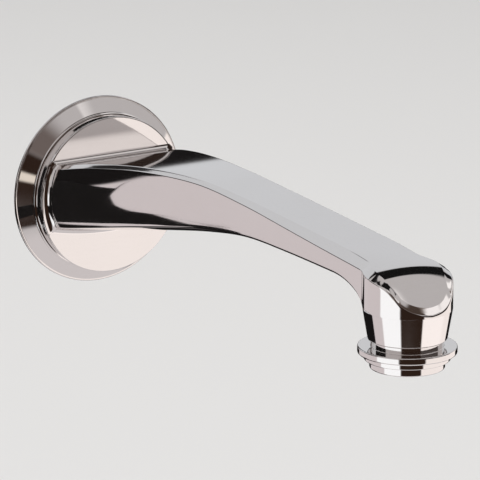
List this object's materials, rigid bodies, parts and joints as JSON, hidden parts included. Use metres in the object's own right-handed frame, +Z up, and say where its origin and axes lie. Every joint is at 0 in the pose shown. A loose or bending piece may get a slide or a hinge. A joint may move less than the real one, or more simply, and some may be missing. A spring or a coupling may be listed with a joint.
{
  "type": "wall spout",
  "caption": "Wall-mounted basin or bath spout: round stepped wall flange, flared arm that tapers to a bevelled nose, tapered outlet collar and a stepped aerator.",
  "frame": {"origin": "centre of the inlet thread where it enters the wall; the wall is the plane Y = 0", "axes": "+Y into the wall along the inlet thread, +Z up, the spout stands out towards -Y and pours down"},
  "size_m": [0.07, 0.2393, 0.07],
  "materials": {
    "nickel_plate": "mirror-polished nickel plate on brass, with a slightly warm grey tone",
    "turned_brass": "bare brass, fine turning marks",
    "black_rubber": "moulded, satin black",
    "red_fibre": "matt vulcanised fibre, cut from sheet",
    "white_acetal": "moulded, satin",
    "stainless_steel": "plain stainless steel"
  },
  "bodies": {
    "root": {"spout_body": "nickel_plate", "wall_flange": "nickel_plate", "wall_gasket": "black_rubber", "flange_o_ring": "black_rubber", "inlet_nipple": "turned_brass", "fibre_washer": "red_fibre", "nipple_o_ring_rear": "black_rubber", "nipple_o_ring_front": "black_rubber", "grub_screw": "stainless_steel", "aerator_housing": "nickel_plate", "aerator_washer": "black_rubber", "filter_dome": "stainless_steel", "flow_ring": "black_rubber", "jet_plate": "white_acetal", "aerator_insert": "white_acetal", "mesh_screen_upper": "stainless_steel", "mesh_screen_lower": "stainless_steel", "stream_straightener": "white_acetal"}
  },
  "joints": []
}
